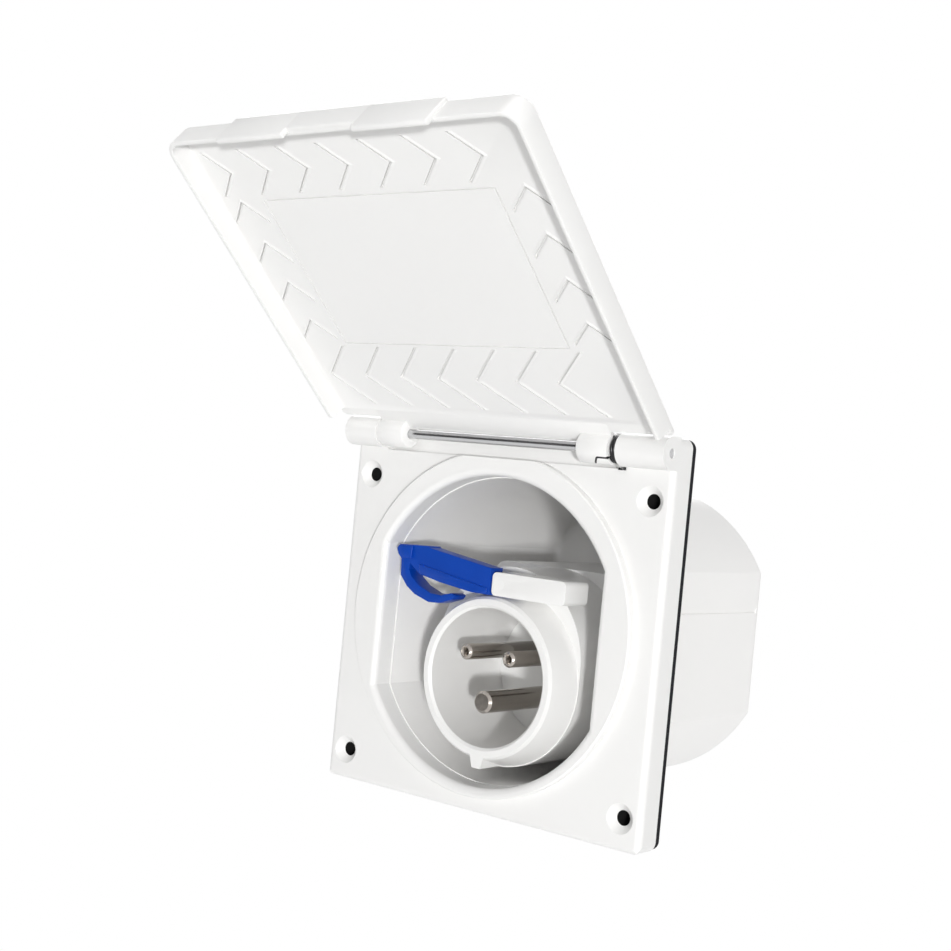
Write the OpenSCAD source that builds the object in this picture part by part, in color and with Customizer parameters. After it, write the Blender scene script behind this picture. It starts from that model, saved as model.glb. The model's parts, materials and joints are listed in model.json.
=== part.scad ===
// Flush mains inlet with a hinged weather lid, for the outer wall of a caravan, camper or boat.
// Millimetres. X to the right, Z up, the wall face at Y = 0, the front towards -Y.
// X and Z start at the centre of the four flange screw holes.
// The lid stands open as drawn and closes by turning about +X.

/* [Inlet collar] */
// Inner diameter of the collar
collar_bore_d = 43.5; // [40:0.1:48]
// Wall thickness of the collar at its rim
collar_wall = 3.5; // [3:0.1:4]
// Depth of the collar in front of its carrier
collar_depth = 37.4; // [34:0.2:42]
// Width of the key rib under the collar
key_w = 6.4; // [4:0.2:8]

/* [Contact pins] */
// Diameter of the two pole pins
pole_d = 5; // [4.8:0.1:6]
// Diameter of the earth pin
earth_d = 7; // [6.5:0.1:8]
// Radius of the circle the pins stand on
pin_circle_r = 9.7; // [9:0.1:10.5]
// Shoulder of each pin where it enters the carrier
pin_shoulder = 0.5; // [0.3:0.1:0.8]

/* [Latch] */
// Thickness of the latch lever
lever_t = 6; // [4.5:0.1:7]
// Height of the latch bar
bar_h = 7.3; // [6.5:0.1:8]
// Diameter of the latch pivot
pivot_d = 3; // [2.5:0.1:3.5]

/* [Back box] */
// Room on each side of the terminal block
side_gap = 14.3; // [13:0.1:18]
// Room under the terminal block
low_gap = 6.8; // [6:0.1:10]
// Depth behind the wall face
box_depth = 84; // [76:0.5:110]
// Wall thickness
box_wall = 2.2; // [1.8:0.1:2.6]
// Floor thickness
box_floor = 2.4; // [2:0.1:4]
// Rounding at the rear edge
box_round = 4; // [3:0.5:8]

/* [Flange plate] */
// How far the raised disc reaches past the box
disc_ring = 3.6; // [3:0.1:5]
// Height of the raised disc above the border
disc_rise = 3.1; // [2:0.1:4]
// Border beside the disc
border_side = 7.9; // [7:0.1:12]
// Border under the disc
border_low = 5.2; // [4:0.1:10]
// Border above the disc, where the hinge lies
border_top = 8.1; // [7:0.1:12]
// Thickness of the border
plate_t = 9; // [8:0.5:12]
// Rounding of the front edges
plate_round = 2; // [1:0.5:3]
// Radius of the corners
plate_corner = 3; // [2:0.5:5]

/* [Flange screw holes] */
// Distance of the holes from the side edges
hole_side = 7.35; // [6.5:0.05:9]
// Distance of the lower holes from the lower edge
hole_low = 9.55; // [8:0.05:14]
// Distance of the upper holes from the upper edge
hole_top = 19.05; // [17:0.05:24]
// Diameter of each hole
hole_d = 4.4; // [3.5:0.1:5]
// Diameter of each countersink
hole_sink_d = 9; // [7:0.5:10]

/* [Wall gasket] */
// Thickness of the gasket
gasket_t = 2.2; // [1:0.1:4]
// How far the gasket edge lies inside the flange edge
gasket_inset = 0.2; // [0.1:0.1:2]

/* [Lid] */
// Thickness of the lid panel
lid_t = 1.6; // [1.4:0.1:2.4]
// Width of the lid rim
lid_rim = 1.6; // [1.2:0.1:2.4]
// How far the rim reaches back over the flange edge
lid_wrap = 3; // [1:0.1:5]
// Angle the lid stands open
lid_open = 132.4; // [0:0.1:133]
// Depth of the chevron lines in the panel
line_depth = 0.5; // [0.2:0.1:0.8]
// Diameter of the hinge pin
hinge_d = 3; // [2.5:0.1:3.5]
// Outer radius of the lid knuckles
knuckle_r = 4.6; // [4:0.1:5]

/* [Cable gland] */
// Radius of the gland thread
gland_r = 8; // [7.2:0.1:9]
// Diameter of the cable the seal takes
cable_d = 10; // [7:0.2:10.4]

/* [Clearances] */
// Radial gap of a turning pin
run_gap = 0.05; // [0.02:0.01:0.1]
// Gap around a piece that is let into another
fit_gap = 0.1; // [0.05:0.05:0.3]
// Gap between the closed lid and the raised disc
lid_gap = 0.3; // [0.1:0.1:1]
// Gap between the lid rim and the sides of the flange
lid_side_gap = 0.6; // [0.3:0.1:1.5]
// Gap between the lid rim and the lower edge of the flange
lid_end_gap = 0.3; // [0.2:0.1:1.5]
// Gap between the latch lever and its bar
lever_gap = 0.8; // [0.7:0.1:1.5]

/* [Hidden] */
$fn = 96;
eps = 0.01;

y_back = -gasket_t;
y_border = y_back - plate_t;
y_disc = y_border - disc_rise;

collar_r = collar_bore_d / 2;
collar_out = collar_r + collar_wall;
collar_base = collar_out + 2;
collar_z = -13.7;
y_rim = y_border + 0.6;
y_base = y_border + 11.2;
y_carrier = y_rim + collar_depth;
carrier_t = 8;
y_step = y_carrier + carrier_t;
y_block = y_step - 9;
y_grip = y_block - 6;
carrier_flange = 3.2;
y_term = y_step + carrier_flange;
key_r = collar_out + 2.9;
key_tip = key_w / 2;
base_r = collar_out + 3.05;
base_edge = 0.3;

bar_low = collar_z + collar_out + 0.65;
bar_top = bar_low + bar_h;
block_w = collar_base + 0.25;
block_top = bar_top + 1.5;
base_z = block_top - base_r;
block_low = collar_z - collar_out - 1.05;
block_wall = 2.5;

box_z = collar_z + 14.7;
in_flat = block_w + side_gap;
in_r = box_z - block_low + low_gap;
box_flat = in_flat + box_wall;
box_r = in_r + box_wall;
mouth_r = in_r + 0.3;
mouth_flat = in_flat + 0.3;
mouth_round = 2.1;
lip_t = 4;
y_lip = y_back - lip_t;
lip_r = box_r + 2.5;
lip_flat = box_flat + 2.5;
tab_x = box_flat - 4;
tab_dz = box_r - 14;
tab_r = 5;
screw_r = 1.5;
head_r = 2.7;
head_t = 2;
y_floor = box_depth - box_floor;
seam_z = box_z + 11;

disc_z = box_z + 2.3;
disc_r = box_r + disc_ring;
plate_w = 2 * (disc_r + border_side);
plate_low = disc_z - disc_r - border_low;
plate_top = disc_z + disc_r + border_top;
plate_h = plate_top - plate_low;
hole_x = plate_w / 2 - hole_side;
hole_z = [plate_low + hole_low, plate_top - hole_top];

hinge_r = hinge_d / 2;
ear_r = 4.9;
hinge_y = y_border - 2.3;
hinge_z = plate_top - ear_r;
ear_l = -plate_w / 2 + 13.5;
ear_r0 = plate_w / 2 - 16.5;
trough_y = hinge_y + knuckle_r + 0.6;
trough_z = hinge_z - knuckle_r - 0.9;

pin_z = collar_z + 2.1;
pole_x = pin_circle_r * cos(30);
pole_z = pin_z + pin_circle_r * sin(30);
earth_z = pin_z - pin_circle_r;
pin_back = 9;
term_wall = 2.6;
term_len = 18;
y_term_screw = y_term + 13.5;
wire_r = 1.8;

y_lever = y_border - 1;
y_bar = y_lever;
bar_x0 = lever_gap;
bar_x1 = block_w + 1;
root_t = 2.6;
root_gap = 0.3;
root_r = 2.8;
pivot_r = pivot_d / 2;
pivot_x = 4;
pivot_z = bar_low + 3.6;
peg_r = 1.3;
peg_x = [pivot_x + 4.5, pivot_x + 9];
peg_z = bar_low + 2.6;
lever_clear = 0.4;
lever_k = (in_flat - 2.8) / 39;

lid_half = plate_w / 2 + lid_side_gap + lid_rim;
lid_len = hinge_z - plate_low + lid_end_gap + lid_rim;
lid_edge = y_border + lid_wrap - hinge_y;
lid_in = y_disc - lid_gap - hinge_y;
lid_out = lid_in - lid_t;
lid_s0 = 1.9;
lid_s1 = ear_r + 1.1;
lid_s2 = lid_s1 + 4;
lid_corner = 5.5;
pad_a = lid_half - 51.3;
pad_b = lid_half - 25.3;
pad_rise = 1.1;
pad_reach = 2.5;
knuckle_w = 11;
knuckle_l0 = ear_l + fit_gap;
knuckle_l1 = ear_l + knuckle_w;
knuckle_r1 = ear_r0 - 3;
knuckle_r0 = knuckle_r1 - knuckle_w;
relief_x = -1.2;
field_w = lid_half - 21;
field_s0 = 37.5;
field_s1 = lid_len - 25.7;
line_w = 1.3;

gland_z = collar_z;
gland_bore = gland_r - 2;
gland_seat = gland_r - 1.2;
gland_neck = gland_r + 0.5;
gland_hex = gland_r + 4;
gland_hex_t = 5;
seal_y = box_depth + 4;
seal_len = 11;
cap_y = box_depth + 6;
cap_hex_t = 8;
cap_end = 2.5;

// Turns a shape drawn upwards so that it runs along +Y
module along_y() {
    rotate([-90, 0, 0]) children();
}

// Plain rod along Y between two stations
module rod_y(x, z, r, y0, y1) {
    translate([x, y0, z]) along_y() cylinder(r = r, h = y1 - y0);
}

// Plain rod along X between two stations
module rod_x(y, z, r, x0, x1) {
    translate([x0, y, z]) rotate([0, 90, 0]) cylinder(r = r, h = x1 - x0);
}

// Outline in X and Z given a thickness in Y
module slab(y0, y1) {
    translate([0, y1, 0]) rotate([90, 0, 0]) linear_extrude(height = y1 - y0) children();
}

// Rectangle with round corners between two corner points
module round_box(x0, z0, x1, z1, r) {
    translate([x0 + r, z0]) square([x1 - x0 - 2 * r, z1 - z0]);
    translate([x0, z0 + r]) square([x1 - x0, z1 - z0 - 2 * r]);
    translate([x0 + r, z0 + r]) circle(r = r);
    translate([x1 - r, z0 + r]) circle(r = r);
    translate([x0 + r, z1 - r]) circle(r = r);
    translate([x1 - r, z1 - r]) circle(r = r);
}

// Circle cut by two upright flats
module double_d(r, flat) {
    intersection() {
        translate([0, box_z]) circle(r = r);
        translate([-flat, box_z - r]) square([2 * flat, 2 * r]);
    }
}

// Half section of a tube body whose far end is rounded
module half_round(half, len, r) {
    square([half, len - r]);
    square([half - r, len]);
    translate([half - r, len - r]) circle(r = r);
}

// Half section of a mouth that flares out at its near end
module half_flare(half, len, r) {
    difference() {
        union() {
            square([half, len]);
            translate([0, -1]) square([half + r, r + 1]);
        }
        translate([half + r, r]) circle(r = r);
    }
}

// Double-D body with its far end rounded
module d_body(r, flat, y0, y1, round) {
    intersection() {
        translate([0, y0, box_z]) along_y() rotate_extrude() half_round(r, y1 - y0, round);
        translate([0, y0, box_z - r - 1]) linear_extrude(height = 2 * r + 2) {
            half_round(flat, y1 - y0, round);
            mirror([1, 0]) half_round(flat, y1 - y0, round);
        }
    }
}

// Double-D cutter with its near end flared
module d_mouth(r, flat, y0, y1, round) {
    intersection() {
        translate([0, y0, box_z]) along_y() rotate_extrude() half_flare(r, y1 - y0, round);
        translate([0, y0, box_z - r - 5]) linear_extrude(height = 2 * r + 10) {
            half_flare(flat, y1 - y0, round);
            mirror([1, 0]) half_flare(flat, y1 - y0, round);
        }
    }
}

// Section of a plate with its two front edges rounded
module edge_round(a, b, t, r) {
    translate([a, 0]) square([b - a, t - r]);
    translate([a + r, 0]) square([b - a - 2 * r, t]);
    translate([a + r, t - r]) circle(r = r);
    translate([b - r, t - r]) circle(r = r);
}

// Places for the four flange screws
module at_holes() {
    for (sx = [-1, 1]) for (z = hole_z) translate([sx * hole_x, 0, z]) children();
}

// Places for the four screws of the box lip
module at_tabs() {
    for (sx = [-1, 1]) for (sz = [-1, 1])
        translate([sx * tab_x, 0, box_z + sz * tab_dz]) children();
}

// Outline of the box lip with its four screw tabs
module lip_shape(gap) {
    double_d(lip_r + gap, lip_flat + gap);
    for (sx = [-1, 1]) for (sz = [-1, 1])
        translate([sx * tab_x, box_z + sz * tab_dz]) circle(r = tab_r + gap);
}

// Lug of the flange around the hinge pin
module ear(x0, x1) {
    rod_x(hinge_y, hinge_z, ear_r, x0, x1);
    translate([x0, hinge_y, hinge_z - ear_r]) cube([x1 - x0, y_border + plate_round - hinge_y, 2 * ear_r]);
}

module front_plate() color([0.93, 0.93, 0.91]) {
    difference() {
        union() {
            intersection() {
                translate([0, y_back, plate_low - 1]) mirror([0, 1, 0]) linear_extrude(height = plate_h + 2)
                    edge_round(-plate_w / 2, plate_w / 2, plate_t, plate_round);
                translate([-plate_w / 2 - 1, y_back, 0]) rotate([0, -90, 180])
                    linear_extrude(height = plate_w + 2)
                    edge_round(plate_low, plate_top, plate_t, plate_round);
                slab(y_border - 1, y_back + 1)
                    round_box(-plate_w / 2, plate_low, plate_w / 2, plate_top, plate_corner);
            }
            translate([0, y_disc, disc_z]) along_y() {
                cylinder(r1 = disc_r - 0.5, r2 = disc_r, h = 0.5);
                translate([0, 0, 0.5]) cylinder(r = disc_r, h = disc_rise + 1);
            }
            ear(-plate_w / 2, ear_l);
            ear(ear_r0, plate_w / 2);
        }
        translate([ear_l, y_disc - 1, trough_z])
            cube([ear_r0 - ear_l, trough_y - y_disc + 1, plate_top - trough_z + 1]);
        d_mouth(mouth_r, mouth_flat, y_disc, y_back + 1, mouth_round);
        slab(y_lip - fit_gap, y_back + 1) lip_shape(fit_gap);
        at_holes() {
            translate([0, y_border - 1, 0]) along_y() cylinder(d = hole_d, h = plate_t + 2, $fn = 48);
            translate([0, y_border, 0]) along_y()
                cylinder(d1 = hole_sink_d, d2 = hole_d, h = (hole_sink_d - hole_d) / 2, $fn = 48);
        }
        at_tabs() translate([0, y_lip - 3.8, 0]) along_y() cylinder(r = screw_r, h = 4, $fn = 32);
        rod_x(hinge_y, hinge_z, hinge_r, -plate_w / 2 - 1, plate_w / 2 + 1);
    }
}

module back_box() color([0.93, 0.93, 0.92]) {
    difference() {
        union() {
            d_body(box_r, box_flat, y_lip, box_depth, box_round);
            slab(y_lip, y_back) lip_shape(0);
        }
        d_body(in_r, in_flat, y_lip - 1, y_floor, box_round - box_wall + 0.4);
        at_tabs() {
            translate([0, y_lip - 1, 0]) along_y() cylinder(r = screw_r + fit_gap, h = lip_t + 2, $fn = 32);
            translate([0, y_back - head_t - 0.2, 0]) along_y()
                cylinder(r = head_r + fit_gap, h = head_t + 1, $fn = 32);
        }
        for (sx = [-1, 1])
            translate([sx * box_flat - 0.4, 6, seam_z - 0.6]) cube([0.8, box_depth - 10, 1.2]);
        at_box_bosses() translate([0, y_floor - 1, 0]) along_y()
            cylinder(r = screw_r + fit_gap, h = box_floor + 2, $fn = 32);
        rod_y(0, gland_z, gland_r + fit_gap, y_floor - 1, box_depth + 1);
    }
}

module wall_gasket() color([0.07, 0.07, 0.08]) {
    difference() {
        slab(y_back, 0) round_box(-plate_w / 2 + gasket_inset, plate_low + gasket_inset,
            plate_w / 2 - gasket_inset, plate_top - gasket_inset, plate_corner);
        slab(y_back - 1, 1) double_d(box_r + fit_gap, box_flat + fit_gap);
        at_holes() translate([0, y_back - 1, 0]) along_y() cylinder(d = hole_d, h = gasket_t + 2, $fn = 48);
    }
}

module box_screws() color([0.7, 0.71, 0.73]) {
    at_tabs() {
        difference() {
            translate([0, y_back - head_t - 0.2, 0]) along_y() cylinder(r = head_r, h = head_t, $fn = 32);
            translate([-2, y_back - 0.9, -0.4]) cube([4, 2, 0.8]);
        }
        translate([0, y_lip - 3.8, 0]) along_y() cylinder(r = screw_r, h = lip_t + 3.8 - head_t, $fn = 32);
    }
}

module hinge_pin() color([0.72, 0.72, 0.74]) {
    rod_x(hinge_y, hinge_z, hinge_r, -plate_w / 2 + 0.4, plate_w / 2 - 0.4);
}

// Wire wound around the hinge axis
module coil(pitch, turns, r, wire) {
    steps = 18;
    sides = 8;
    n = steps * turns;
    pts = [for (i = [0 : n]) for (j = [0 : sides - 1])
        let (a = 360 * i / steps, b = 360 * j / sides, q = r + wire * cos(b))
        [pitch * i / steps + wire * sin(b), q * cos(a), q * sin(a)]];
    near = [for (i = [0 : n - 1]) for (j = [0 : sides - 1])
        [i * sides + j, (i + 1) * sides + j, (i + 1) * sides + (j + 1) % sides]];
    far = [for (i = [0 : n - 1]) for (j = [0 : sides - 1])
        [i * sides + j, (i + 1) * sides + (j + 1) % sides, i * sides + (j + 1) % sides]];
    first = [for (j = [1 : sides - 2]) [0, j, j + 1]];
    last = [for (j = [1 : sides - 2]) [n * sides, n * sides + j + 1, n * sides + j]];
    polyhedron(points = pts, faces = concat(near, far, first, last), convexity = 6);
}

module hinge_spring() color([0.3, 0.3, 0.32]) {
    wire = 0.35;
    room = ear_r0 - knuckle_r1 - 2 * wire - 2 * fit_gap;
    translate([knuckle_r1 + wire + fit_gap, hinge_y, hinge_z])
        coil(room / 2, 2, hinge_r + wire + 0.25, wire);
}

// One chevron line on the lid, its point at the start and its arms going back
module chevron(arm, w) {
    back = w * 1.4;
    polygon([[0, 0], [-arm, arm], [-arm - back, arm], [-back, 0], [-arm - back, -arm], [-arm, -arm]]);
}

// Outline of the lid, with room for the two lugs
module lid_shape() {
    difference() {
        round_box(-lid_half, -lid_len, lid_half, -lid_s0, lid_corner);
        translate([-lid_half - 5, -lid_s1]) square([ear_l + lid_half + 5, lid_s1 + 1]);
        translate([knuckle_r1, -lid_s1]) square([lid_half + 5 - knuckle_r1, lid_s1 + 1]);
    }
}

// Lines inside the lid: a plain middle field in a frame of chevrons
module lid_relief() {
    top_step = (2 * lid_half - 18.4) / 7;
    low_step = (2 * lid_half - 22.4) / 7;
    for (i = [0 : 6]) {
        translate([-lid_half + 12.6 + top_step * i, 15.9 - lid_len]) chevron(7.8, line_w);
        translate([-lid_half + 5.4 + low_step * i, -24]) mirror([1, 0]) chevron(11.6, line_w);
    }
    translate([relief_x, 0]) {
        for (sx = [-1, 1]) for (i = [0 : 3])
            translate([sx * (field_w + 9.8), 15 * i + 0.5 - field_s1]) rotate(-90) chevron(6.6, line_w);
        difference() {
            translate([-field_w, -field_s1]) square([2 * field_w, field_s1 - field_s0]);
            translate([1 - field_w, 1 - field_s1]) square([2 * field_w - 2, field_s1 - field_s0 - 2]);
        }
    }
}

// Lid as it lies when closed, drawn about its hinge axis
module lid_closed() {
    difference() {
        union() {
            slab(lid_out, lid_in) lid_shape();
            difference() {
                slab(lid_in - eps, lid_edge) difference() {
                    lid_shape();
                    round_box(-lid_half + lid_rim, -lid_len + lid_rim, lid_half - lid_rim, 10,
                        lid_corner - lid_rim);
                }
                translate([-lid_half - 5, lid_in, -lid_s2]) cube([2 * lid_half + 10, 20, 20]);
            }
            slab(lid_out, lid_edge) translate([-pad_b, -lid_len - pad_rise])
                square([2 * pad_b, pad_rise + lid_rim / 2]);
            for (sx = [-1, 1]) slab(lid_out, lid_edge + pad_reach)
                translate([sx > 0 ? pad_a : -pad_b, -lid_len - pad_rise])
                square([pad_b - pad_a, pad_rise + lid_rim / 2]);
            for (k = [[knuckle_l0, knuckle_l1], [knuckle_r0, knuckle_r1]]) {
                rod_x(0, 0, knuckle_r, k[0], k[1]);
                translate([k[0], lid_out, -knuckle_r]) cube([k[1] - k[0], lid_t + 2.2, knuckle_r]);
            }
        }
        slab(lid_in - line_depth, lid_in + 1) lid_relief();
        rod_x(0, 0, hinge_r + run_gap, knuckle_l0 - 1, knuckle_r1 + 1);
    }
}

module lid() color([0.94, 0.94, 0.93]) {
    translate([0, hinge_y, hinge_z]) rotate([-lid_open, 0, 0]) lid_closed();
}

// Outline of the terminal block, drawn in by a wall thickness where wanted
module block_shape(inset) {
    rb = 14 - inset;
    rt = 5 - inset;
    xb = block_w - 14;
    xt = block_w - 5;
    zb = block_low + 14;
    zt = block_top - 5;
    translate([-block_w + inset, zb]) square([2 * block_w - 2 * inset, zt - zb]);
    translate([-xb, block_low + inset]) square([2 * xb, zb - block_low - inset]);
    translate([-xt, zt]) square([2 * xt, block_top - zt - inset]);
    for (sx = [-1, 1]) {
        translate([sx * xb, zb]) circle(r = rb);
        translate([sx * xt, zt]) circle(r = rt);
    }
}

// Places for the four screws through the box floor
module at_box_bosses() {
    for (sx = [-1, 1]) {
        translate([sx * (block_w - 5.5), 0, block_top - 5.5]) children();
        translate([sx * (block_w - 7.5), 0, block_low + 7.5]) children();
    }
}

// Places for the four screws of the pin carrier
module at_carrier() {
    for (sx = [-1, 1]) {
        translate([sx * (collar_r - 2.75), 0, collar_z + collar_r - 3.05]) children();
        translate([sx * (collar_r - 3.75), 0, collar_z - collar_r + 4.45]) children();
    }
}

// Outline of the round base behind the collar, with a shoulder for the latch bar
module base_shape() {
    for (z = [collar_z, base_z]) translate([0, z]) circle(r = base_r);
    translate([-base_r, collar_z]) square([2 * base_r, base_z - collar_z]);
}

// Key rib under the collar, narrower towards its tip
module key_shape() {
    root = -collar_r - 1;
    polygon([[-key_w / 2, root], [-key_tip / 2, -key_r], [key_tip / 2, -key_r], [key_w / 2, root]]);
}

// Outside of the collar, wider towards the base
module collar_cone(gap) {
    translate([0, y_rim + 1, collar_z]) along_y()
        cylinder(r1 = collar_out + gap, r2 = base_r - base_edge + gap, h = y_base - y_rim - 1);
    translate([0, y_rim, collar_z]) along_y()
        cylinder(r1 = collar_out - 0.8 + gap, r2 = collar_out + gap, h = 1);
}

// Collar and its round base, one moulding
module inlet_housing() color([0.94, 0.94, 0.93]) {
    difference() {
        union() {
            slab(y_base, y_block) base_shape();
            collar_cone(0);
            slab(y_rim, y_base + 1) translate([0, collar_z]) key_shape();
        }
        rod_y(0, collar_z, collar_r, y_rim - 1, y_block + 1);
        translate([0, y_rim - eps, collar_z]) along_y() cylinder(r1 = collar_r + 0.8, r2 = collar_r, h = 0.8);
        at_carrier() translate([0, y_grip, 0]) along_y()
            cylinder(r = screw_r, h = y_block - y_grip + 1, $fn = 32);
        for (x = peg_x) rod_y(x, peg_z, peg_r, y_base - 1, y_base + 5);
        rod_y(pivot_x, pivot_z, pivot_r, y_base - 1, y_base + 4);
    }
}

// Open-backed housing behind the collar that holds the carrier and its terminals
module terminal_housing() color([0.94, 0.94, 0.93]) {
    difference() {
        slab(y_block, y_floor) block_shape(0);
        rod_y(0, collar_z, collar_r, y_block - 1, y_step + 1);
        difference() {
            slab(y_step, y_floor + 1) block_shape(block_wall);
            at_box_bosses() translate([0, y_floor - 15, 0]) along_y() cylinder(r = 3.4, h = 15, $fn = 32);
        }
        at_box_bosses() translate([0, y_floor - 10, 0]) along_y() cylinder(r = screw_r, h = 11, $fn = 32);
        at_carrier() translate([0, y_block - 1, 0]) along_y()
            cylinder(r = screw_r + fit_gap, h = y_step - y_block + 2, $fn = 32);
    }
}

module latch_housing() color([0.94, 0.94, 0.93]) {
    difference() {
        union() {
            slab(y_bar, y_base) round_box(bar_x0, bar_low, bar_x1, bar_top, 1.5);
            for (x = peg_x) rod_y(x, peg_z, peg_r, y_base - 1, y_base + 5);
        }
        translate([bar_x0 - 1, y_lever + root_t - root_gap, bar_low - 1])
            cube([pivot_x + root_r + 3.4 - bar_x0, lever_t - root_t + 2 * root_gap, bar_h + 2]);
        collar_cone(fit_gap);
        rod_y(pivot_x, pivot_z, pivot_r, y_bar - 1, y_base + 1);
    }
}

// Outline of the latch lever: arm, thumb tab and the hook that curls under it
module lever_shape() {
    points = [[0, 8.3], [-25.5, 12], [-26, 12.5], [-38, 12], [-39, 10.6], [-38, 8.4], [-36.9, 7.4],
        [-36.6, 2.1], [-33.6, -1.2], [-30, -3.4], [-24, -5.2], [-19.5, -5], [-14.5, -3.2], [-13.6, -1.9],
        [-15, -1.3], [-19, -2.5], [-23.4, -2.3], [-28.6, -0.4], [-32, 2], [-33.4, 4.3], [-33.2, 6.4],
        [-28.6, 3.2], [-20, 1.6], [-7, 0], [0, 0]];
    polygon([for (p = points) [p[0] * lever_k, p[1] + bar_low]]);
}

module latch_lever() color([0.06, 0.22, 0.66]) {
    difference() {
        union() {
            slab(y_lever, y_lever + lever_t) lever_shape();
            slab(y_lever + root_t, y_lever + lever_t) {
                translate([-0.5, pivot_z - root_r]) square([pivot_x + 0.5, 2 * root_r]);
                translate([pivot_x, pivot_z]) circle(r = root_r);
            }
        }
        rod_y(pivot_x, pivot_z, pivot_r + run_gap, y_lever - 1, y_lever + lever_t + 1);
        collar_cone(lever_clear);
    }
}

module latch_pivot() color([0.72, 0.72, 0.74]) {
    rod_y(pivot_x, pivot_z, pivot_r, y_bar + 0.3, y_base + 4);
}

module pin_carrier() color([0.9, 0.9, 0.88]) {
    difference() {
        union() {
            rod_y(0, collar_z, collar_r - fit_gap, y_carrier, y_step + eps);
            slab(y_step, y_term) round_box(-collar_r - 1.75, collar_z - collar_r - 0.05,
                collar_r + 1.75, collar_z + collar_r + 0.95, 9.8);
        }
        for (sx = [-1, 1]) rod_y(sx * pole_x, pole_z, pole_d / 2 - pin_shoulder, y_carrier - 1, y_term + 1);
        rod_y(0, earth_z, earth_d / 2 - pin_shoulder, y_carrier - 1, y_term + 1);
        at_carrier() translate([0, y_step - 1, 0]) along_y() cylinder(r = screw_r + fit_gap, h = 6, $fn = 32);
    }
}

// Round contact pin with a chamfered tip at the collar rim and a shoulder at the carrier
module contact(x, z, d) {
    translate([x, y_rim, z]) along_y() cylinder(d1 = d - 1.6, d2 = d, h = 0.8, $fn = 48);
    translate([x, y_rim + 0.8, z]) along_y() cylinder(d = d, h = y_carrier - y_rim - 0.8, $fn = 48);
    translate([x, y_carrier - 1, z]) along_y()
        cylinder(r = d / 2 - pin_shoulder, h = y_term + pin_back - y_carrier + 1, $fn = 48);
}

module line_pin() color([0.75, 0.73, 0.7]) contact(-pole_x, pole_z, pole_d);

module neutral_pin() color([0.75, 0.73, 0.7]) contact(pole_x, pole_z, pole_d);

module earth_pin() color([0.75, 0.73, 0.7]) contact(0, earth_z, earth_d);

// Terminal sleeve on the rear of a pin, with its wire bore and screw hole
module terminal(x, z, d, up) {
    difference() {
        rod_y(x, z, d / 2 + term_wall, y_term, y_term + term_len);
        rod_y(x, z, d / 2 - pin_shoulder, y_term - 1, y_term + pin_back);
        rod_y(x, z, wire_r, y_term, y_term + term_len + 1);
        translate([x, y_term_screw, z]) mirror([0, 0, up ? 0 : 1]) cylinder(r = screw_r, h = d, $fn = 32);
    }
}

module line_terminal() color([0.8, 0.66, 0.34]) terminal(-pole_x, pole_z, pole_d, true);

module neutral_terminal() color([0.8, 0.66, 0.34]) terminal(pole_x, pole_z, pole_d, true);

module earth_terminal() color([0.8, 0.66, 0.34]) terminal(0, earth_z, earth_d, false);

// Clamp screw standing out of a terminal
module clamp(x, z, d, up) {
    translate([x, y_term_screw, z]) mirror([0, 0, up ? 0 : 1]) {
        translate([0, 0, 1.4]) cylinder(r = screw_r, h = d / 2 + 2, $fn = 32);
        difference() {
            translate([0, 0, d / 2 + 3.2]) cylinder(r = 2.5, h = 1.8, $fn = 32);
            translate([-3, -0.35, d / 2 + 4.2]) cube([6, 0.7, 2]);
        }
    }
}

module terminal_screws() color([0.7, 0.71, 0.73]) {
    clamp(-pole_x, pole_z, pole_d, true);
    clamp(pole_x, pole_z, pole_d, true);
    clamp(0, earth_z, earth_d, false);
}

module carrier_screws() color([0.7, 0.71, 0.73]) {
    at_carrier() {
        translate([0, y_grip, 0]) along_y() cylinder(r = screw_r, h = y_term - y_grip, $fn = 32);
        difference() {
            translate([0, y_term, 0]) along_y() cylinder(r = head_r - 0.2, h = 1.8, $fn = 32);
            translate([-3, y_term + 1, -0.35]) cube([6, 2, 0.7]);
        }
    }
}

module housing_screws() color([0.7, 0.71, 0.73]) {
    at_box_bosses() {
        translate([0, y_floor - 10, 0]) along_y() cylinder(r = screw_r, h = 10 + box_floor, $fn = 32);
        difference() {
            translate([0, box_depth, 0]) along_y() cylinder(r = head_r, h = head_t, $fn = 32);
            translate([-3, box_depth + 1, -0.35]) cube([6, 2, 0.7]);
        }
    }
}

module gland_body() color([0.2, 0.2, 0.21]) {
    difference() {
        union() {
            rod_y(0, gland_z, gland_r, y_floor - gland_hex_t - 2, box_depth + 0.5);
            translate([0, box_depth, gland_z]) along_y() cylinder(r = gland_hex, h = gland_hex_t, $fn = 6);
            rod_y(0, gland_z, gland_neck, box_depth + gland_hex_t - 0.5, seal_y + seal_len);
        }
        rod_y(0, gland_z, gland_bore, y_floor - gland_hex_t - 3, seal_y + seal_len + 1);
        rod_y(0, gland_z, gland_seat, seal_y, seal_y + seal_len + 1);
    }
}

module gland_nut() color([0.2, 0.2, 0.21]) {
    difference() {
        translate([0, y_floor - gland_hex_t, gland_z]) along_y()
            cylinder(r = gland_hex, h = gland_hex_t, $fn = 6);
        rod_y(0, gland_z, gland_r, y_floor - gland_hex_t - 1, y_floor + 1);
    }
}

module gland_seal() color([0.09, 0.09, 0.09]) {
    difference() {
        rod_y(0, gland_z, gland_seat, seal_y, seal_y + seal_len);
        rod_y(0, gland_z, cable_d / 2, seal_y - 1, seal_y + seal_len + 1);
    }
}

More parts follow.
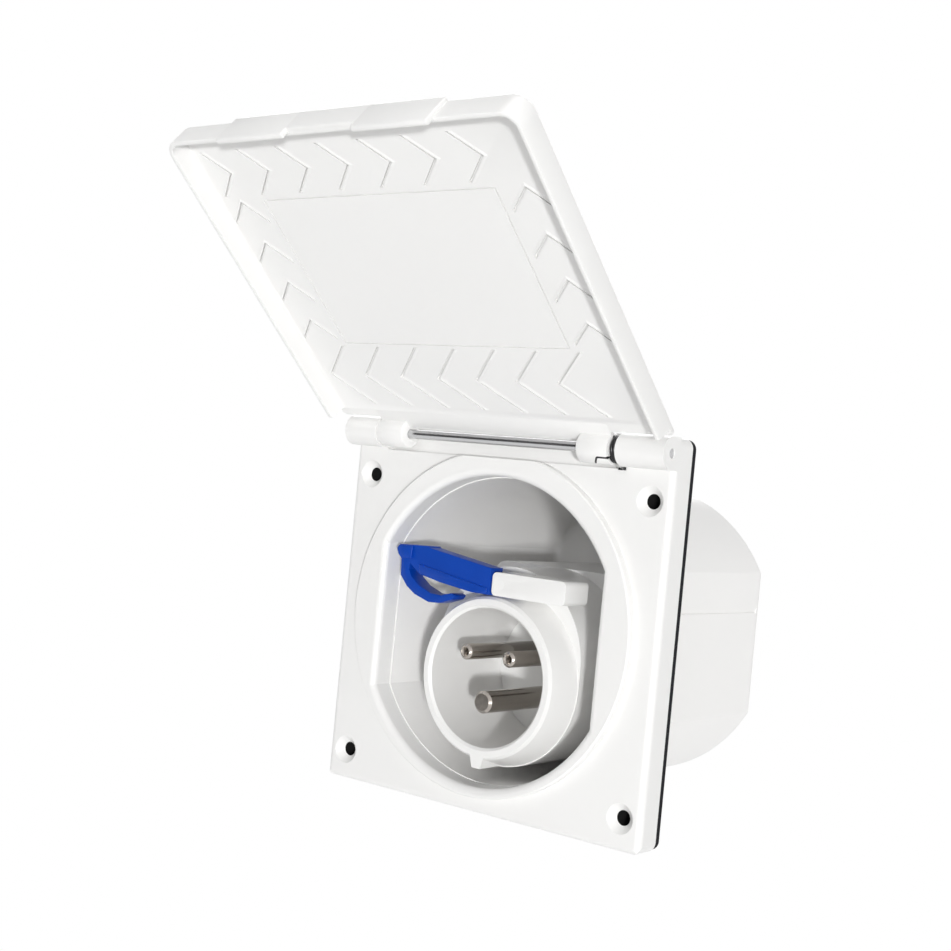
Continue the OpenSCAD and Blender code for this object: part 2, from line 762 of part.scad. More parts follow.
module gland_cap() color([0.2, 0.2, 0.21]) {
    difference() {
        union() {
            translate([0, cap_y, gland_z]) along_y() cylinder(r = gland_hex, h = cap_hex_t, $fn = 6);
            rod_y(0, gland_z, gland_r + 2.1, cap_y + cap_hex_t - 0.5, seal_y + seal_len + cap_end);
        }
        rod_y(0, gland_z, gland_neck, cap_y - 1, seal_y + seal_len);
        rod_y(0, gland_z, gland_bore, cap_y - 1, seal_y + seal_len + cap_end + 1);
    }
}

front_plate();
back_box();
wall_gasket();
box_screws();
hinge_pin();
hinge_spring();
lid();
inlet_housing();
terminal_housing();
latch_housing();
latch_lever();
latch_pivot();
pin_carrier();
line_pin();
neutral_pin();
earth_pin();
line_terminal();
neutral_terminal();
earth_terminal();
terminal_screws();
carrier_screws();
housing_screws();
gland_body();
gland_nut();
gland_seal();
gland_cap();
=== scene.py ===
import json
import math
from itertools import product

import bmesh
import bpy
from mathutils import Matrix, Vector


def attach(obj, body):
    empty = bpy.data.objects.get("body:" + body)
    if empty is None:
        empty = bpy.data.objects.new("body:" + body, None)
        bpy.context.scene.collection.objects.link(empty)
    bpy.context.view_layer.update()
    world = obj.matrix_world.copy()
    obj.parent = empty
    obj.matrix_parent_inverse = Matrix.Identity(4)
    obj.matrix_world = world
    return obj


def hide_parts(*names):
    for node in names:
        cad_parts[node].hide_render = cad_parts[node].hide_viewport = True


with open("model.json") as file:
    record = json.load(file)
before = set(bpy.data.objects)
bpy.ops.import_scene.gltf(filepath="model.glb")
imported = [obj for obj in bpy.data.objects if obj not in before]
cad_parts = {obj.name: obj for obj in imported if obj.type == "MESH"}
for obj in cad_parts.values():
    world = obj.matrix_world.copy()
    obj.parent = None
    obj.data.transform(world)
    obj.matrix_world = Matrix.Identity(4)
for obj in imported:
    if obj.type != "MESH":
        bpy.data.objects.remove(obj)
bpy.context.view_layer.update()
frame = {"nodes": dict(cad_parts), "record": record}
nodes = frame["nodes"]
mm = 0.001
print("frame loaded,", len(nodes), "nodes")


# plastics: two close shades in a slow cloud, with a fine grain
whiteGloss = {
    "light": (0.885, 0.882, 0.872), "dark": (0.86, 0.856, 0.843), "scale": 18, "rough": (0.3, 0.36),
    "grain": 900, "depth": 0.00002, "coat": 0.12, "specular": 0.5,
}
boxWhite = {
    "light": (0.955, 0.949, 0.937), "dark": (0.93, 0.922, 0.908), "scale": 14, "rough": (0.32, 0.4),
    "grain": 700, "depth": 0.00003, "coat": 0.1, "specular": 0.5,
}
carrierWhite = {
    "light": (0.84, 0.84, 0.83), "dark": (0.79, 0.79, 0.78), "scale": 20, "rough": (0.4, 0.52),
    "grain": 900, "depth": 0.00003, "coat": 0.0, "specular": 0.5,
}
latchBlue = {
    "light": (0.001, 0.058, 0.43), "dark": (0.0005, 0.044, 0.34), "scale": 60, "rough": (0.34, 0.44),
    "grain": 1200, "depth": 0.00002, "coat": 0.0, "specular": 0.25,
}
gasketBlack = {
    "light": (0.008, 0.008, 0.011), "dark": (0.004, 0.004, 0.006), "scale": 120, "rough": (0.7, 0.85),
    "grain": 1500, "depth": 0.00006, "coat": 0.0, "specular": 0.2,
}
glandBlack = {
    "light": (0.03, 0.03, 0.032), "dark": (0.02, 0.02, 0.022), "scale": 80, "rough": (0.38, 0.5),
    "grain": 1200, "depth": 0.00004, "coat": 0.0, "specular": 0.5,
}
noiseSizes = {"cloudDetail": 4, "grainDetail": 3, "grainStrength": 0.6, "metalScale": 1, "metalDetail": 3}


def noiseFactor(tree, place, scale, detail):
    noise = tree.nodes.new("ShaderNodeTexNoise")
    noise.inputs["Scale"].default_value = scale
    noise.inputs["Detail"].default_value = detail
    tree.links.new(place, noise.inputs["Vector"])
    return noise.outputs["Fac"]


def newFinish(name):
    made = bpy.data.materials.new(name)
    made.use_nodes = True
    return made, made.node_tree.nodes["Principled BSDF"]


def objectPlace(tree):
    return tree.nodes.new("ShaderNodeTexCoord").outputs["Object"]


def mixTowards(tree, factor, colour):
    # inputs 6 and 7 and output 2 are the colour sockets; input 6 is left to the caller
    mix = tree.nodes.new("ShaderNodeMix")
    mix.data_type = "RGBA"
    mix.inputs[7].default_value = (*colour, 1)
    tree.links.new(factor, mix.inputs[0])
    return mix


def mapTo(tree, factor, low, high):
    ranged = tree.nodes.new("ShaderNodeMapRange")
    ranged.inputs["To Min"].default_value = low
    ranged.inputs["To Max"].default_value = high
    tree.links.new(factor, ranged.inputs["Value"])
    return ranged.outputs["Result"]


def shadeWith(tree, shader, factor, look):
    mix = mixTowards(tree, factor, look["light"])
    mix.inputs[6].default_value = (*look["dark"], 1)
    tree.links.new(mix.outputs[2], shader.inputs["Base Color"])
    tree.links.new(mapTo(tree, factor, *look["rough"]), shader.inputs["Roughness"])


def addGrain(tree, shader, place, scale, depth):
    bump = tree.nodes.new("ShaderNodeBump")
    bump.inputs["Strength"].default_value = noiseSizes["grainStrength"]
    bump.inputs["Distance"].default_value = depth
    tree.links.new(noiseFactor(tree, place, scale, noiseSizes["grainDetail"]), bump.inputs["Height"])
    tree.links.new(bump.outputs["Normal"], shader.inputs["Normal"])


def plasticFinish(name, look):
    made, shader = newFinish(name)
    tree = made.node_tree
    place = objectPlace(tree)
    shadeWith(tree, shader, noiseFactor(tree, place, look["scale"], noiseSizes["cloudDetail"]), look)
    shader.inputs["Coat Weight"].default_value = look["coat"]
    shader.inputs["Specular IOR Level"].default_value = look["specular"]
    addGrain(tree, shader, place, look["grain"], look["depth"])
    return made


# metals: a noise stretched along the drawn or turned direction
pinSteel = {
    "light": (0.62, 0.62, 0.63), "dark": (0.5, 0.5, 0.51), "rough": (0.16, 0.3), "stretch": (40, 900, 900),
}
screwZinc = {
    "light": (0.6, 0.6, 0.61), "dark": (0.5, 0.5, 0.5), "rough": (0.28, 0.42), "stretch": (500, 500, 500),
}
nickelPin = {
    "light": (0.5, 0.46, 0.42), "dark": (0.36, 0.33, 0.3), "rough": (0.14, 0.24), "stretch": (700, 40, 700),
}
springDark = {
    "light": (0.07, 0.07, 0.072), "dark": (0.04, 0.04, 0.042), "rough": (0.25, 0.4),
    "stretch": (60, 900, 900),
}
turnedBrass = {
    "light": (0.75, 0.58, 0.26), "dark": (0.62, 0.45, 0.18), "rough": (0.22, 0.36), "stretch": (700, 60, 700),
}


def metalFinish(name, look):
    made, shader = newFinish(name)
    tree = made.node_tree
    mapping = tree.nodes.new("ShaderNodeMapping")
    mapping.inputs["Scale"].default_value = look["stretch"]
    tree.links.new(objectPlace(tree), mapping.inputs["Vector"])
    drawn = noiseFactor(tree, mapping.outputs["Vector"], noiseSizes["metalScale"], noiseSizes["metalDetail"])
    shadeWith(tree, shader, drawn, look)
    shader.inputs["Metallic"].default_value = 1.0
    return made


# flange holes, in metres from the middle of their pattern; dark is the colour of the painted shade in their
# bores
holeSizes = {"x": 0.05415, "z": 0.04595, "radius": 0.00226, "dark": (0.02, 0.02, 0.02)}


def vectorStep(tree, operation, source, other=(0, 0, 0)):
    step = tree.nodes.new("ShaderNodeVectorMath")
    step.operation = operation
    step.inputs[1].default_value = other
    tree.links.new(source, step.inputs[0])
    return step.outputs


def paintHoleShade(made):
    # painted shade: the bores of the four holes are painted near black and lose their specular and coat, in
    # place of deep shadow; one distance serves all, folded about both axes
    tree = made.node_tree
    shader = tree.nodes["Principled BSDF"]
    fold = vectorStep(tree, "ABSOLUTE", objectPlace(tree))
    moved = vectorStep(tree, "SUBTRACT", fold["Vector"], (holeSizes["x"], 0, holeSizes["z"]))
    flat = vectorStep(tree, "MULTIPLY", moved["Vector"], (1, 0, 1))
    reach = vectorStep(tree, "LENGTH", flat["Vector"])
    inside = tree.nodes.new("ShaderNodeMath")
    inside.operation = "LESS_THAN"
    inside.inputs[1].default_value = holeSizes["radius"]
    tree.links.new(reach["Value"], inside.inputs[0])
    mix = mixTowards(tree, inside.outputs[0], holeSizes["dark"])
    tree.links.new(shader.inputs["Base Color"].links[0].from_socket, mix.inputs[6])
    tree.links.new(mix.outputs[2], shader.inputs["Base Color"])
    for label in ("Specular IOR Level", "Coat Weight"):
        faded = mapTo(tree, inside.outputs[0], shader.inputs[label].default_value, 0)
        tree.links.new(faded, shader.inputs[label])
    return made


finishes = {
    "white_plastic": plasticFinish("whitePlastic", whiteGloss),
    "box_plastic": plasticFinish("boxPlastic", boxWhite),
    "carrier_plastic": plasticFinish("carrierPlastic", carrierWhite),
    "blue_plastic": plasticFinish("bluePlastic", latchBlue),
    "black_rubber": plasticFinish("blackRubber", gasketBlack),
    "black_plastic": plasticFinish("blackPlastic", glandBlack),
    "pin_steel": metalFinish("pinSteel", pinSteel),
    "spring_steel": metalFinish("springSteel", springDark),
    "screw_steel": metalFinish("screwSteel", screwZinc),
    "plated_brass": metalFinish("platedBrass", nickelPin),
    "bare_brass": metalFinish("bareBrass", turnedBrass),
}
slotOf = {row["node"]: row["material_slot"] for row in frame["record"]["subparts"]}
for name, node in nodes.items():
    node.data.materials.clear()
    node.data.materials.append(finishes[slotOf[name]])
# the flange's finish carries painted shade in its four hole bores
nodes["front_plate"].data.materials[0] = paintHoleShade(plasticFinish("flangePlasticHoleShade", whiteGloss))
print("finishes set on the solids")


# mesh helpers; merge, weld and sliver are in metres, angles in degrees
meshSizes = {"merge": 2e-6, "weld": 1e-6, "sliver": 1e-7, "flatAngle": 1, "bevelAngle": 32, "bevelSteps": 3}
roundShare = 0.3  # how much of a round is left at its middle point


def linkNew(name, data):
    made = bpy.data.objects.new(name, data)
    bpy.context.scene.collection.objects.link(made)
    return made


def meshFrom(work, name):
    mesh = bpy.data.meshes.new(name)
    work.to_mesh(mesh)
    work.free()
    return mesh


def bakedMesh(holder):
    bpy.context.view_layer.update()
    seen = holder.evaluated_get(bpy.context.evaluated_depsgraph_get())
    return bpy.data.meshes.new_from_object(seen)


def smoothMesh(mesh, angle):
    mesh.polygons.foreach_set("use_smooth", [True] * len(mesh.polygons))
    mesh.set_sharp_from_angle(angle=math.radians(angle))
    return mesh


def addPiece(name, mesh, body, slotName, *replaced):
    made = linkNew(name, mesh)
    mesh.materials.clear()
    mesh.materials.append(finishes[slotName])
    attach(made, body)
    if replaced:
        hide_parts(*replaced)
    return made


def mergedCopy(nodeName):
    work = bmesh.new()
    work.from_mesh(nodes[nodeName].data)
    bmesh.ops.remove_doubles(work, verts=work.verts, dist=meshSizes["merge"])
    return work


def subtract(shell, tool):
    pair = [linkNew(label, meshFrom(made, label)) for label, made in (("cutShell", shell), ("cutTool", tool))]
    cut = pair[0].modifiers.new("cut", "BOOLEAN")
    cut.operation = "DIFFERENCE"
    cut.solver = "EXACT"
    cut.object = pair[1]
    flat = bakedMesh(pair[0])
    work = bmesh.new()
    work.from_mesh(flat)
    for holder in pair:
        bpy.data.objects.remove(holder)
    bpy.data.meshes.remove(flat)
    return work


def bridgeRings(work, a, b):
    for i in range(len(a)):
        j = (i + 1) % len(a)
        work.faces.new((a[i], a[j], b[j], b[i]))


def softenAround(work, verts, soften):
    edges = list(dict.fromkeys(e for v in verts for e in v.link_edges))
    bmesh.ops.bevel(work, geom=edges, offset=soften * mm, segments=meshSizes["bevelSteps"], profile=0.5,
                    affect="EDGES", clamp_overlap=True)


def addRod(work, x, z, radius, y0, y1, sides=40):
    # a closed cylinder along Y, in mm
    turned = Matrix.Translation(Vector((x, (y0 + y1) / 2, z)) * mm) @ Matrix.Rotation(math.pi / 2, 4, "X")
    bmesh.ops.create_cone(work, cap_ends=True, segments=sides, radius1=radius * mm, radius2=radius * mm,
                          depth=(y1 - y0) * mm, matrix=turned)


def addBox(work, low, high, place, soften):
    verts = [work.verts.new(place(*corner)) for corner in product(*zip(low, high))]
    for f in ((0, 1, 3, 2), (4, 6, 7, 5), (0, 4, 5, 1), (2, 3, 7, 6), (0, 2, 6, 4), (1, 5, 7, 3)):
        work.faces.new([verts[i] for i in f])
    if soften:
        softenAround(work, verts, soften)


def addTube(work, x0, x1, inner, outer, place, soften, sides=48):
    part = soften * roundShare
    profile = [(x0, inner), (x0, outer - soften), (x0 + part, outer - part), (x0 + soften, outer),
               (x1 - soften, outer), (x1 - part, outer - part), (x1, outer - soften), (x1, inner)]
    turns = [2 * math.pi * i / sides for i in range(sides)]
    rings = [[work.verts.new(place(x, r * math.cos(a), r * math.sin(a))) for a in turns] for x, r in profile]
    for a, b in zip(rings, rings[1:] + rings[:1]):
        bridgeRings(work, a, b)


# lid, in mm: x across, s away from the hinge and t inwards from the hinge axis; faceTurns in radians
# a lift or inset keeps the faces of joined blocks out of one plane
lidSizes = {
    "hingeY": -13.5, "hingeZ": 60.1, "open": 132.4, "half": 63.7, "length": 117.5, "notch": 6.0,
    "panelIn": -1.1, "panelOut": -2.7, "rimEdge": 5.3, "rim": 1.6, "rimStart": (8.8, 10.2), "rampSteps": 5,
    "freeCorner": 5.5, "hingeCorner": 1.2, "leastCorner": 0.06, "cornerSteps": 8,
    "faceRound": 1.0, "faceTurns": (0, 0.4, 0.8, 1.2, math.pi / 2), "rimRound": 0.5,
    "fillet": ((0.15, 1.0), (0.45, 0.3), (1.1, 0.0)), "sharp": 38,
    "field": (-1.2, 42.7, 37.5, 91.8),
    "knuckles": ((-47.9, -37.0), (31.0, 42.0)), "knuckleR": 4.6, "boreR": 1.55, "knuckleSoft": 0.5,
    "strip": {"start": 1.9, "reach": 3.0, "lift": 0.04, "soft": 0.3},
    "arm": {"start": 1.75, "top": 1.1, "inset": 0.03, "lift": 0.07, "soft": 0.4},
    "catches": ((-38.4, -12.4), (12.4, 38.4)),
    "grip": {"root": 0.75, "rise": 1.1, "inset": 0.05, "lift": 0.03, "drop": 0.04, "soft": 0.5},
    "catch": {"root": 0.8, "reach": 2.5, "lift": 0.06, "soft": 0.6},
}
openAngle = math.radians(lidSizes["open"])
lidAlong = Vector((0, -math.sin(openAngle), -math.cos(openAngle)))
lidInward = Vector((0, math.cos(openAngle), -math.sin(openAngle)))
lidAxis = Vector((0, lidSizes["hingeY"], lidSizes["hingeZ"]))


def lidPlace(x, t, s):
    return (Vector((x, 0, 0)) + lidAxis + lidAlong * s + lidInward * t) * mm


def lidContour(inset):
    sizes = lidSizes
    x0, x1 = -sizes["half"] + inset, sizes["half"] - inset
    s0, s1 = sizes["notch"] + inset, sizes["length"] - inset
    corners = ((x0, s0, 1, 1, 180, sizes["hingeCorner"]), (x1, s0, -1, 1, 270, sizes["hingeCorner"]),
               (x1, s1, -1, -1, 0, sizes["freeCorner"]), (x0, s1, 1, -1, 90, sizes["freeCorner"]))
    first, last = sizes["rimStart"]
    steps, count = sizes["rampSteps"], sizes["cornerSteps"]
    ramp = [first + (last - first) * i / steps for i in range(steps + 1)]
    sideRuns = {1: [(x1, s) for s in ramp], 3: [(x0, s) for s in reversed(ramp)]}
    points = []
    for k, (x, s, dx, ds, start, r) in enumerate(corners):
        r = max(r - inset, sizes["leastCorner"])
        for i in range(count + 1):
            a = math.radians(start + 90 * i / count)
            points.append((x + dx * r + r * math.cos(a), s + ds * r + r * math.sin(a)))
        points += sideRuns.get(k, [])
    return points


# chevron lines inside the lid, set out by one node tree
# they run at 45 degrees, and slant turns a width across a line into one along its row
bandSizes = {
    "top": {"start": (-51.1, 101.6), "step": (15.57, 0), "count": 7, "arm": 7.9, "turn": 0, "side": 1},
    "bottom": {"start": (-58.3, 24.0), "step": (15.0, 0), "count": 7, "arm": 12.2, "turn": 180, "side": -1},
    "left": {"start": (-53.7, 46.3), "step": (0, 15.0), "count": 4, "arm": 7.2, "turn": 90, "side": 1},
    "right": {"start": (51.3, 46.3), "step": (0, 15.0), "count": 4, "arm": 7.2, "turn": 90, "side": 1},
}
lineSizes = {
    "width": 0.75, "depth": 1.0, "over": 1.0, "slant": 1.41, "frame": 0.5, "frameDepth": 0.45,
    "bead": 0.9, "beadRise": 0.22, "beadSink": 0.2, "beadEdge": 0.8, "beadCrest": 0.2,
}


def chevronTile(arm, profile):
    # a V-shaped bar with its point at the start; the profile runs across the line, in mm
    work = bmesh.new()
    rows = [[work.verts.new((u - abs(v), v, t)) for u, t in profile] for v in (-arm, 0, arm)]
    for a, b in zip(rows, rows[1:]):
        bridgeRings(work, a, b)
    work.faces.new(rows[0][::-1])
    work.faces.new(rows[-1])
    bmesh.ops.recalc_face_normals(work, faces=work.faces)
    return meshFrom(work, "chevronTile")


def chevronTree():
    tree = bpy.data.node_groups.new("chevronBand", "GeometryNodeTree")
    face = tree.interface
    face.new_socket(name="Geometry", in_out="INPUT", socket_type="NodeSocketGeometry")
    kinds = {"Count": "Int", "Start": "Vector", "Step": "Vector", "Turn": "Vector", "Finish": "Material"}
    ids = {}
    for label, kind in kinds.items():
        ids[label] = face.new_socket(name=label, in_out="INPUT", socket_type="NodeSocket" + kind).identifier
    face.new_socket(name="Geometry", in_out="OUTPUT", socket_type="NodeSocketGeometry")
    add, link = tree.nodes.new, tree.links.new
    given, result = add("NodeGroupInput"), add("NodeGroupOutput")
    line = add("GeometryNodeMeshLine")
    spread = add("GeometryNodeInstanceOnPoints")
    plain = add("GeometryNodeRealizeInstances")
    paint = add("GeometryNodeSetMaterial")
    link(given.outputs["Count"], line.inputs["Count"])
    link(given.outputs["Start"], line.inputs["Start Location"])
    link(given.outputs["Step"], line.inputs["Offset"])
    link(line.outputs["Mesh"], spread.inputs["Points"])
    link(given.outputs["Geometry"], spread.inputs["Instance"])
    link(given.outputs["Turn"], spread.inputs["Rotation"])
    link(spread.outputs["Instances"], plain.inputs["Geometry"])
    link(plain.outputs["Geometry"], paint.inputs["Geometry"])
    link(given.outputs["Finish"], paint.inputs["Material"])
    link(paint.outputs["Geometry"], result.inputs["Geometry"])
    return tree, ids


bandTree, bandInputs = chevronTree()


def layBands(profile):
    # every band in one mesh, laid on the lid's panel; side turns the profile to the other side of the line
    joined = bmesh.new()
    for label, band in bandSizes.items():
        tile = chevronTile(band["arm"], [(band["side"] * u, t) for u, t in profile])
        holder = linkNew("chevrons_" + label, tile)
        setOut = holder.modifiers.new("band", "NODES")
        setOut.node_group = bandTree
        setOut[bandInputs["Count"]] = band["count"]
        setOut[bandInputs["Start"]] = (*band["start"], 0)
        setOut[bandInputs["Step"]] = (*band["step"], 0)
        setOut[bandInputs["Turn"]] = (0, 0, math.radians(band["turn"]))
        setOut[bandInputs["Finish"]] = finishes["white_plastic"]
        flat = bakedMesh(holder)
        joined.from_mesh(flat)
        bpy.data.objects.remove(holder)
        bpy.data.meshes.remove(flat)
    for v in joined.verts:
        v.co = lidPlace(v.co.x, lidSizes["panelIn"] + v.co.z, v.co.y)
    bmesh.ops.recalc_face_normals(joined, faces=joined.faces)
    return joined


def grooveProfile():
    half, deep, over = lineSizes["width"] * lineSizes["slant"] / 2, lineSizes["depth"], lineSizes["over"]
    return [(-half, over), (-half, -deep), (half, -deep), (half, over)]


def beadProfile():
    sizes = lineSizes
    near = sizes["width"] * sizes["slant"] / 2
    wide = sizes["bead"] * sizes["slant"]
    rise, sink = sizes["beadRise"], sizes["beadSink"]
    return [(near, -sink), (near, rise * sizes["beadEdge"]), (near + wide * sizes["beadCrest"], rise),
            (near + wide, 0), (near + wide, -sink)]


def cutLines(shell):
    # the chevron grooves and the frame line of the middle field, cut into the panel
    middle, half, low, high = lidSizes["field"]
    w, base = lineSizes["frame"], lidSizes["panelIn"]
    bottom, top = base - lineSizes["frameDepth"], base + lineSizes["over"]
    left, right = middle - half, middle + half
    tool = layBands(grooveProfile())
    for x in (left, right):
        addBox(tool, (x - w / 2, bottom, low), (x + w / 2, top, high), lidPlace, 0)
    for s in (low, high):
        addBox(tool, (left + w, bottom, s - w / 2), (right - w, top, s + w / 2), lidPlace, 0)
    bmesh.ops.recalc_face_normals(tool, faces=tool.faces)
    return subtract(shell, tool)


def lidTray():
    # rings from the outer face over the rim to the panel; the rim fades out towards the hinge
    sizes = lidSizes
    work = bmesh.new()
    base, out, edge = sizes["panelIn"], sizes["panelOut"], sizes["rimEdge"]
    f, q, w = sizes["faceRound"], sizes["rimRound"], sizes["rim"]
    part = q * roundShare
    steps = [(f * (1 - math.sin(a)), out + f * (1 - math.cos(a))) for a in sizes["faceTurns"]]
    steps += [(0, edge - q), (part, edge - part), (q, edge)]
    steps += [(w - q, edge), (w - part, edge - part), (w, edge - q)]
    steps += [(w + inward, base + up) for inward, up in sizes["fillet"]]
    first, last = sizes["rimStart"]
    loops = []
    for inset, t in steps:
        ring = []
        for x, s in lidContour(inset):
            k = min(max((s - first) / (last - first), 0), 1)
            top = base + k * k * (3 - 2 * k) * (edge - base)
            ring.append(work.verts.new(lidPlace(x, min(t, top), s)))
        loops.append(ring)
    for a, b in zip(loops, loops[1:]):
        bridgeRings(work, a, b)
    work.faces.new(loops[0][::-1])
    work.faces.new(loops[-1])
    bmesh.ops.remove_doubles(work, verts=work.verts, dist=meshSizes["weld"])
    bmesh.ops.dissolve_degenerate(work, dist=meshSizes["sliver"], edges=work.edges)
    bmesh.ops.recalc_face_normals(work, faces=work.faces)
    return work


def addKnuckles(work):
    # hinge strip, knuckles and their arms
    sizes = lidSizes
    strip, arm, out = sizes["strip"], sizes["arm"], sizes["panelOut"]
    ends = sizes["knuckles"]
    inner, end = sizes["panelIn"] + strip["lift"], sizes["notch"] + strip["reach"]
    addBox(work, (ends[0][0], out + strip["lift"], strip["start"]), (ends[1][1], inner, end),
           lidPlace, strip["soft"])
    for x0, x1 in ends:
        addTube(work, x0, x1, sizes["boreR"], sizes["knuckleR"], lidPlace, sizes["knuckleSoft"])
        addBox(work, (x0 + arm["inset"], out + arm["lift"], arm["start"]),
               (x1 - arm["inset"], arm["top"], sizes["knuckleR"]), lidPlace, arm["soft"])


def addGrip(work):
    # grip strip on the free edge with its two catches
    sizes = lidSizes
    grip, catch, ends = sizes["grip"], sizes["catch"], sizes["catches"]
    out, edge, length = sizes["panelOut"], sizes["rimEdge"], sizes["length"]
    tip = length + grip["rise"]
    addBox(work, (ends[0][0] + grip["inset"], out + grip["lift"], length - grip["root"]),
           (ends[1][1] - grip["inset"], edge - grip["drop"], tip - grip["inset"]), lidPlace, grip["soft"])
    for x0, x1 in ends:
        addBox(work, (x0, out + catch["lift"], length - catch["root"]),
               (x1, edge + catch["reach"], tip), lidPlace, catch["soft"])


def buildLidShell():
    work = cutLines(lidTray())
    addKnuckles(work)
    addGrip(work)
    bmesh.ops.recalc_face_normals(work, faces=work.faces)
    return smoothMesh(meshFrom(work, "lidShell"), lidSizes["sharp"])


lidShell = addPiece("lidShell", buildLidShell(), "lid", "white_plastic", "lid")
print("lid shell built,", len(lidShell.data.polygons), "faces")

chevronMesh = meshFrom(layBands(beadProfile()), "lidChevrons")
lidChevrons = addPiece("lidChevrons", chevronMesh, "lid", "white_plastic")
print("chevrons set,", len(lidChevrons.data.polygons), "faces")


# spring on the hinge pin: the coil and its foot stay, the leg lies in the knuckle and turns with the lid
springSizes = {
    "wire": 0.42, "coilR": 3.75, "turns": 2.6, "from": 42.55, "to": 44.45, "steps": 28, "sharp": 50,
    "legR": 4.33, "leg": ((36.6, 75), (38.1, 42), (38.6, 38), (42.2, 39)), "legSteps": 6,
    "foot": ((44.9, -11.65, 54.3), (42.9, -11.65, 54.6)), "leastSide": 1e-3,
}


def aroundHinge(x, r, turn):
    # turn is measured from the front, downwards
    a = math.radians(turn)
    return Vector((x, lidSizes["hingeY"] - r * math.cos(a), lidSizes["hingeZ"] - r * math.sin(a)))


def sweepWire(name, path, radius, sides=10):
    work = bmesh.new()
    turns = [2 * math.pi * k / sides for k in range(sides)]
    rings = []
    side = Vector((1, 0, 0))
    for i, point in enumerate(path):
        along = (path[min(i + 1, len(path) - 1)] - path[max(i - 1, 0)]).normalized()
        side = side - along * side.dot(along)
        if side.length > springSizes["leastSide"]:
            side = side.normalized()
        else:
            side = along.orthogonal().normalized()
        other = along.cross(side)
        spokes = [(side * math.cos(a) + other * math.sin(a)) * radius for a in turns]
        rings.append([work.verts.new((point + spoke) * mm) for spoke in spokes])
    for a, b in zip(rings, rings[1:]):
        bridgeRings(work, a, b)
    work.faces.new(rings[0][::-1])
    work.faces.new(rings[-1])
    bmesh.ops.recalc_face_normals(work, faces=work.faces)
    return smoothMesh(meshFrom(work, name), springSizes["sharp"])


def coilPath():
    sizes = springSizes
    count = int(sizes["turns"] * sizes["steps"])
    pitch = (sizes["to"] - sizes["from"]) / count
    start = sizes["leg"][-1][1]
    path = []
    for i in range(count + 1):
        path.append(aroundHinge(sizes["from"] + pitch * i, sizes["coilR"], start + 360 * i / sizes["steps"]))
    return path + [Vector(point) for point in sizes["foot"]]


def legPath():
    points, steps, r = springSizes["leg"], springSizes["legSteps"], springSizes["legR"]
    path = []
    for (x0, a0), (x1, a1) in zip(points, points[1:]):
        path += [aroundHinge(x0 + (x1 - x0) * k / steps, r, a0 + (a1 - a0) * k / steps) for k in range(steps)]
    endX, endTurn = points[-1]
    return path + [aroundHinge(endX, r, endTurn)]


coilMesh = sweepWire("hingeSpring", coilPath(), springSizes["wire"])
addPiece("hingeSpring", coilMesh, "housing", "spring_steel", "hinge_spring")
legMesh = sweepWire("springLeg", legPath(), springSizes["wire"])
addPiece("springLeg", legMesh, "lid", "spring_steel")
print("spring wound")


# softened copies of the sharp mouldings; widths in mm
softSizes = {
    "sharp": 40,
    "pieces": {
        "latch_lever": {"piece": "latchLever", "body": "latch", "width": 0.55},
        "latch_housing": {"piece": "latchBar", "body": "housing", "width": 0.5},
    },
}


def softCopy(nodeName, width):
    work = mergedCopy(nodeName)
    flatAngle = math.radians(meshSizes["flatAngle"])
    bmesh.ops.dissolve_limit(work, angle_limit=flatAngle, verts=work.verts, edges=work.edges)
    holder = linkNew("bevelHolder", meshFrom(work, nodeName + "Soft"))
    bevel = holder.modifiers.new("soften", "BEVEL")
    bevel.width = width * mm
    bevel.segments = meshSizes["bevelSteps"]
    bevel.limit_method = "ANGLE"
    bevel.angle_limit = math.radians(meshSizes["bevelAngle"])
    bevel.use_clamp_overlap = True
    mesh = bakedMesh(holder)
    bpy.data.objects.remove(holder)
    return smoothMesh(mesh, softSizes["sharp"])


for nodeName, row in softSizes["pieces"].items():
    addPiece(row["piece"], softCopy(nodeName, row["width"]), row["body"], slotOf[nodeName], nodeName)
print("soft edges made")


# raised thumb tab and lower rib on the lever's front face, outlines in x and z
ribSizes = {
    "back": -12.1, "soften": 0.22, "sharp": 40,
    "slabs": {
        "rib": {"front": -12.75, "outline": ((-29.0, 18.7), (-28.3, 15.75), (-20.0, 14.15), (-7.0, 12.55),
                                             (-0.7, 12.55), (-0.7, 14.2), (-4.4, 14.7))},
        "tab": {"front": -13.0, "outline": ((-38.6, 22.8), (-37.8, 20.95), (-36.7, 20.0), (-32.3, 20.2),
                                            (-32.1, 24.2), (-37.8, 23.95))},
    },
}


def addSlab(work, outline, front, back, soften):
    near, far = ([work.verts.new(Vector((x, y, z)) * mm) for x, z in outline] for y in (front, back))
    work.faces.new(near)
    work.faces.new(far[::-1])
    bridgeRings(work, far, near)
    softenAround(work, near, soften)


def buildRibs():
    work = bmesh.new()
    for slab in ribSizes["slabs"].values():
        addSlab(work, slab["outline"], slab["front"], ribSizes["back"], ribSizes["soften"])
    bmesh.ops.recalc_face_normals(work, faces=work.faces)
    return smoothMesh(meshFrom(work, "leverRibs"), ribSizes["sharp"])


addPiece("leverRibs", buildRibs(), "latch", "blue_plastic")
print("lever ribs raised")


# plug over the pivot's end in the front of the latch bar
plugSizes = {"x": 4.0, "z": 15.8, "radius": 1.6, "front": -12.22, "back": -11.95, "sharp": 40}


def buildPlug():
    sizes = plugSizes
    work = bmesh.new()
    addRod(work, sizes["x"], sizes["z"], sizes["radius"], sizes["front"], sizes["back"])
    return smoothMesh(meshFrom(work, "pivotPlug"), sizes["sharp"])


addPiece("pivotPlug", buildPlug(), "housing", "white_plastic")
print("pivot plugged")


# pole pins with hollow tips
tipSizes = {
    "radius": 1.5, "depth": 6.0, "over": 1.0, "sharp": 30,
    "pins": {"line_pin": "linePin", "neutral_pin": "neutralPin"},
}


